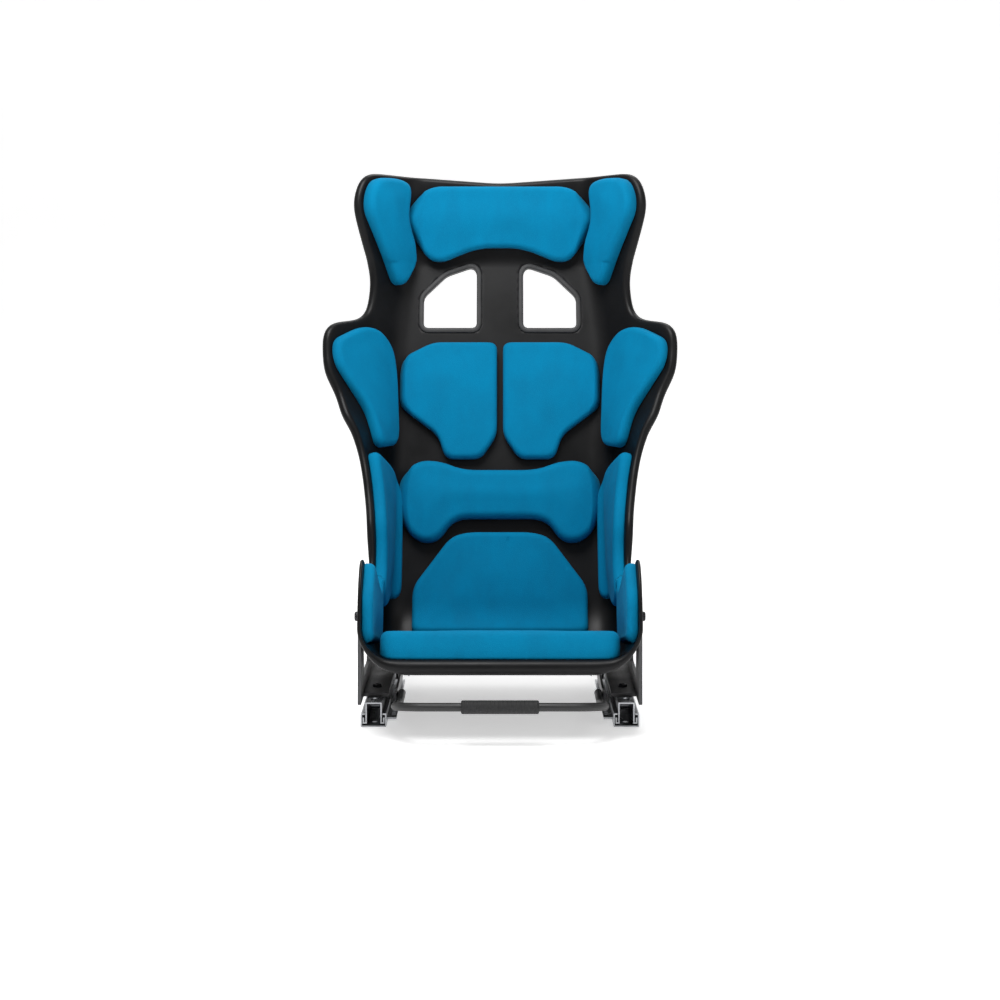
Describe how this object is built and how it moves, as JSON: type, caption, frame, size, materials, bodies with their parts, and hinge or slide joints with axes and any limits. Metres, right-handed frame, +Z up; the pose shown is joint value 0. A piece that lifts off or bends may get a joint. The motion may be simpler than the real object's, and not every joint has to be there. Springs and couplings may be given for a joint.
{
  "type": "racing seat",
  "caption": "fixed-back bucket seat with flared head and shoulder wings, separate blue pads, harness openings, side brackets and a pair of latched slide rails",
  "frame": {"origin": "centre of the four floor bolt holes, on the underside of the lower rails", "axes": "+X to the occupant's left as seen from the front (across the seat), -Y is the way the occupant faces, +Z up"},
  "size_m": [0.5982, 0.6312, 0.834],
  "materials": {
    "shell": "black gel-coated glass-fibre, semi-gloss",
    "blue_fabric": "blue brushed microfibre over foam",
    "trim_plastic": "black moulded plastic, fine grain",
    "black_coat": "black powder coat",
    "black_steel": "black oxide",
    "zinc_steel": "bright zinc plate",
    "spring_steel": "oiled spring wire",
    "nylon": "natural nylon",
    "grip_rubber": "ribbed black rubber"
  },
  "bodies": {
    "base": {"lower_rail_left": "zinc_steel", "lower_rail_right": "zinc_steel", "lock_rack_left": "zinc_steel", "lock_rack_right": "zinc_steel", "travel_stops": "zinc_steel"},
    "carriage": {"seat_shell": "shell", "head_pad": "blue_fabric", "head_side_pad_left": "blue_fabric", "head_side_pad_right": "blue_fabric", "shoulder_pad_left": "blue_fabric", "shoulder_pad_right": "blue_fabric", "upper_back_pad_left": "blue_fabric", "upper_back_pad_right": "blue_fabric", "lumbar_pad": "blue_fabric", "lower_back_pad": "blue_fabric", "side_bolster_pad_left": "blue_fabric", "side_bolster_pad_right": "blue_fabric", "thigh_pad_left": "blue_fabric", "thigh_pad_right": "blue_fabric", "seat_cushion": "blue_fabric", "shoulder_slot_bezel_left": "trim_plastic", "shoulder_slot_bezel_right": "trim_plastic", "lap_slot_bezel_left": "trim_plastic", "lap_slot_bezel_right": "trim_plastic", "side_bracket_left": "black_coat", "side_bracket_right": "black_coat", "shell_inserts": "zinc_steel", "side_bolts": "black_steel", "side_bolt_washers": "zinc_steel", "rail_bolts": "black_steel", "rail_nuts": "zinc_steel", "upper_rail_left": "zinc_steel", "upper_rail_right": "zinc_steel", "glide_shoes_left": "nylon", "glide_shoes_right": "nylon", "stop_pins": "zinc_steel", "pivot_tab_left": "black_coat", "pivot_tab_right": "black_coat", "pivot_pins": "zinc_steel", "latch_springs": "spring_steel"},
    "release": {"latch_lever_left": "black_steel", "latch_lever_right": "black_steel", "release_bar": "black_coat", "release_grip": "grip_rubber"}
  },
  "joints": [
    {"name": "seat_slide", "type": "slide", "parent": "base", "child": "carriage", "axis": [0, 1, 0], "range_m": [-0.09, 0.09]},
    {"name": "latch_release", "type": "hinge", "parent": "carriage", "child": "release", "pos_m": [0, 0.062, 0.028], "axis": [-1, 0, 0], "range_deg": [0, 5], "stiffness_Nm_per_rad": 2, "springref_deg": -17.19}
  ]
}
